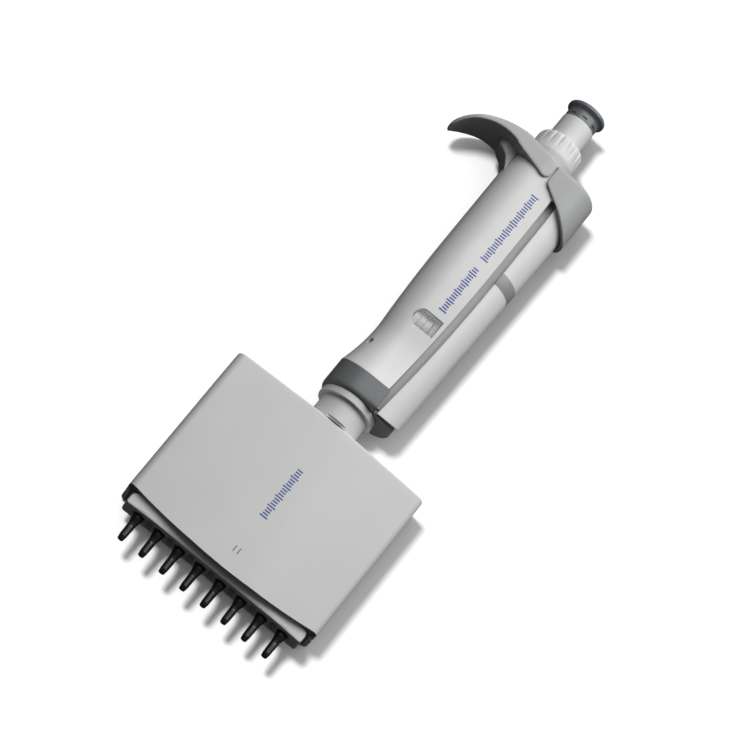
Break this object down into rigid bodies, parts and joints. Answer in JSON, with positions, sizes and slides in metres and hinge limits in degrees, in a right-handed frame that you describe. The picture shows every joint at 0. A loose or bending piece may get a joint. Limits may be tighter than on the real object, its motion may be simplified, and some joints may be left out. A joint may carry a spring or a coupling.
{
  "type": "multichannel pipette",
  "caption": "Hand-held multichannel air-displacement pipette with a swivelling handle, finger hook, push button, volume ring, tip ejector and a row of sprung tip cones.",
  "frame": {"origin": "on the surface the pipette lies on, under the middle of its length and of its channel row", "axes": "+Y along the long axis from the tip cones to the push button, +X towards the ejector side, +Z out of the front face"},
  "size_m": [0.082, 0.238, 0.025],
  "materials": {
    "light_shell": "fine satin moulding",
    "pale_plastic": "satin",
    "mid_grey_plastic": "satin",
    "dark_grey_plastic": "satin",
    "button_grey": "satin",
    "black_plastic": "semi-gloss",
    "seal_rubber": "matte",
    "steel": "drawn",
    "clear_lens": "clear, glossy"
  },
  "bodies": {
    "lower_part": {"housing_front_cover": "light_shell", "housing_back_cover": "light_shell", "base_plate": "dark_grey_plastic", "cylinder_head": "mid_grey_plastic", "seal_retainer": "steel", "piston_seals": "seal_rubber", "guide_rods": "steel", "frame_plate": "mid_grey_plastic", "swivel_neck": "light_shell", "snap_ring": "steel", "housing_screws": "steel", "cone_springs": "steel"},
    "piston_carriage": {"piston_beam": "mid_grey_plastic", "pistons": "steel", "piston_clamp_plate": "steel", "lower_push_rod": "steel"},
    "ejector_frame": {"ejector_bar": "light_shell", "ejector_rods": "steel", "ejector_yoke": "mid_grey_plastic", "transfer_ring": "pale_plastic"},
    "handle": {"handle_shell": "light_shell", "handle_collar": "dark_grey_plastic", "ejector_rail": "mid_grey_plastic", "finger_hook": "mid_grey_plastic", "display_lens": "clear_lens", "index_strip": "mid_grey_plastic", "adjustment_plug": "mid_grey_plastic", "mechanism_sleeve": "pale_plastic", "spring_seat": "steel", "counter_frame": "dark_grey_plastic", "counter_axle": "steel", "main_spring": "steel", "ejector_spring": "steel"},
    "volume_control": {"volume_ring": "pale_plastic", "lead_screw": "steel"},
    "volume_nut": {"volume_nut": "steel"},
    "counter_shaft": {"counter_shaft": "steel"},
    "wheel_tens": {"digit_wheel_tens": "pale_plastic"},
    "wheel_units": {"digit_wheel_units": "pale_plastic"},
    "wheel_tenths": {"digit_wheel_tenths": "pale_plastic"},
    "push_button": {"button_cap": "button_grey", "button_stem": "pale_plastic", "upper_push_rod": "steel"},
    "ejector_control": {"ejector_thumb_piece": "mid_grey_plastic", "ejector_panel": "light_shell", "ejector_inlay": "mid_grey_plastic", "ejector_foot": "dark_grey_plastic"},
    "cone_1": {"tip_cone_1": "black_plastic"},
    "cone_2": {"tip_cone_2": "black_plastic"},
    "cone_3": {"tip_cone_3": "black_plastic"},
    "cone_4": {"tip_cone_4": "black_plastic"},
    "cone_5": {"tip_cone_5": "black_plastic"},
    "cone_6": {"tip_cone_6": "black_plastic"},
    "cone_7": {"tip_cone_7": "black_plastic"},
    "cone_8": {"tip_cone_8": "black_plastic"}
  },
  "joints": [
    {"name": "handle_swivel", "type": "hinge", "parent": "lower_part", "child": "handle", "pos_m": [0, -0.023, 0.0125], "axis": [0, 1, 0], "continuous": true},
    {"name": "button_press", "type": "slide", "parent": "handle", "child": "push_button", "axis": [0, -1, 0], "range_m": [0, 0.0132], "stiffness_N_per_m": 120, "springref_m": -0.012, "deforming": ["main_spring"]},
    {"name": "piston_stroke", "type": "slide", "parent": "lower_part", "child": "piston_carriage", "axis": [0, -1, 0], "range_m": [0, 0.0132]},
    {"name": "volume_turn", "type": "hinge", "parent": "handle", "child": "volume_control", "pos_m": [0, 0.096, 0.0125], "axis": [0, 1, 0], "range_deg": [0, 3420]},
    {"name": "nut_travel", "type": "slide", "parent": "handle", "child": "volume_nut", "axis": [0, -1, 0], "range_m": [0, 0.0122]},
    {"name": "layshaft_turn", "type": "hinge", "parent": "handle", "child": "counter_shaft", "pos_m": [0.0052, 0.041, 0.0056], "axis": [0, 1, 0], "range_deg": [-17134.2, 0]},
    {"name": "tenths_turn", "type": "hinge", "parent": "handle", "child": "wheel_tenths", "pos_m": [0, 0.011, 0.0182], "axis": [1, 0, 0], "range_deg": [0, 3423.42]},
    {"name": "units_turn", "type": "hinge", "parent": "handle", "child": "wheel_units", "pos_m": [0, 0.011, 0.0182], "axis": [1, 0, 0], "range_deg": [0, 342.34]},
    {"name": "tens_turn", "type": "hinge", "parent": "handle", "child": "wheel_tens", "pos_m": [0, 0.011, 0.0182], "axis": [1, 0, 0], "range_deg": [0, 34.23]},
    {"name": "ejector_press", "type": "slide", "parent": "handle", "child": "ejector_control", "axis": [0, -1, 0], "range_m": [0, 0.008], "stiffness_N_per_m": 400, "springref_m": -0.006, "deforming": ["ejector_spring"]},
    {"name": "ejector_stroke", "type": "slide", "parent": "lower_part", "child": "ejector_frame", "axis": [0, -1, 0], "range_m": [0, 0.008]},
    {"name": "cone_1_give", "type": "slide", "parent": "lower_part", "child": "cone_1", "axis": [0, 1, 0], "range_m": [0, 0.0015], "stiffness_N_per_m": 1500, "springref_m": -0.002, "deforming": ["cone_springs"]},
    {"name": "cone_2_give", "type": "slide", "parent": "lower_part", "child": "cone_2", "axis": [0, 1, 0], "range_m": [0, 0.0015], "stiffness_N_per_m": 1500, "springref_m": -0.002, "deforming": ["cone_springs"]},
    {"name": "cone_3_give", "type": "slide", "parent": "lower_part", "child": "cone_3", "axis": [0, 1, 0], "range_m": [0, 0.0015], "stiffness_N_per_m": 1500, "springref_m": -0.002, "deforming": ["cone_springs"]},
    {"name": "cone_4_give", "type": "slide", "parent": "lower_part", "child": "cone_4", "axis": [0, 1, 0], "range_m": [0, 0.0015], "stiffness_N_per_m": 1500, "springref_m": -0.002, "deforming": ["cone_springs"]},
    {"name": "cone_5_give", "type": "slide", "parent": "lower_part", "child": "cone_5", "axis": [0, 1, 0], "range_m": [0, 0.0015], "stiffness_N_per_m": 1500, "springref_m": -0.002, "deforming": ["cone_springs"]},
    {"name": "cone_6_give", "type": "slide", "parent": "lower_part", "child": "cone_6", "axis": [0, 1, 0], "range_m": [0, 0.0015], "stiffness_N_per_m": 1500, "springref_m": -0.002, "deforming": ["cone_springs"]},
    {"name": "cone_7_give", "type": "slide", "parent": "lower_part", "child": "cone_7", "axis": [0, 1, 0], "range_m": [0, 0.0015], "stiffness_N_per_m": 1500, "springref_m": -0.002, "deforming": ["cone_springs"]},
    {"name": "cone_8_give", "type": "slide", "parent": "lower_part", "child": "cone_8", "axis": [0, 1, 0], "range_m": [0, 0.0015], "stiffness_N_per_m": 1500, "springref_m": -0.002, "deforming": ["cone_springs"]}
  ],
  "couplings": [
    {"joint": "piston_stroke", "follows": "button_press", "ratio": 1},
    {"joint": "ejector_stroke", "follows": "ejector_press", "ratio": 1},
    {"joint": "nut_travel", "follows": "volume_turn", "m_per_rad": 0.0002026},
    {"joint": "layshaft_turn", "follows": "volume_turn", "ratio": -5},
    {"joint": "tenths_turn", "follows": "volume_turn", "ratio": 1},
    {"joint": "units_turn", "follows": "volume_turn", "ratio": 0.1},
    {"joint": "tens_turn", "follows": "volume_turn", "ratio": 0.01}
  ]
}
